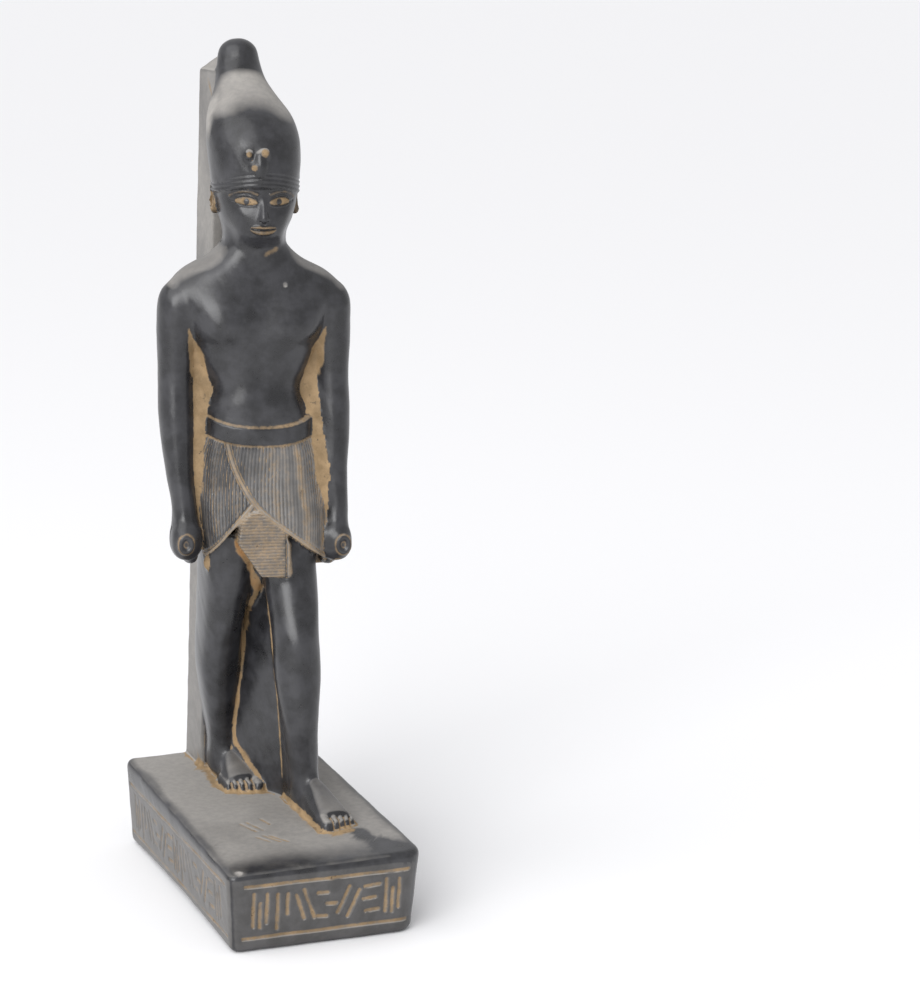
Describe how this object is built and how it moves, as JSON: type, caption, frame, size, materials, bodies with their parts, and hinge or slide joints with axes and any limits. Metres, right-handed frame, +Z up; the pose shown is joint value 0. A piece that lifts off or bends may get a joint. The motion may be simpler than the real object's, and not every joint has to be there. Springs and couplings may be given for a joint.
{
  "type": "egyptian pharaoh statue",
  "caption": "Striding pharaoh in a tall crown and pleated kilt, fists at the sides, carved with its back pillar and long inscribed plinth from dark stone; stands free.",
  "frame": {"origin": "middle of the plinth's underside", "axes": "+Z up; the figure faces -Y and +X is on the right of someone who faces it"},
  "size_m": [0.0816, 0.1438, 0.346],
  "materials": {
    "dark_stone": "satin, hand polished, with grey dust on upper faces and tan raw stone in the recesses"
  },
  "bodies": {
    "root": {"pharaoh_statue": "dark_stone"}
  },
  "joints": []
}
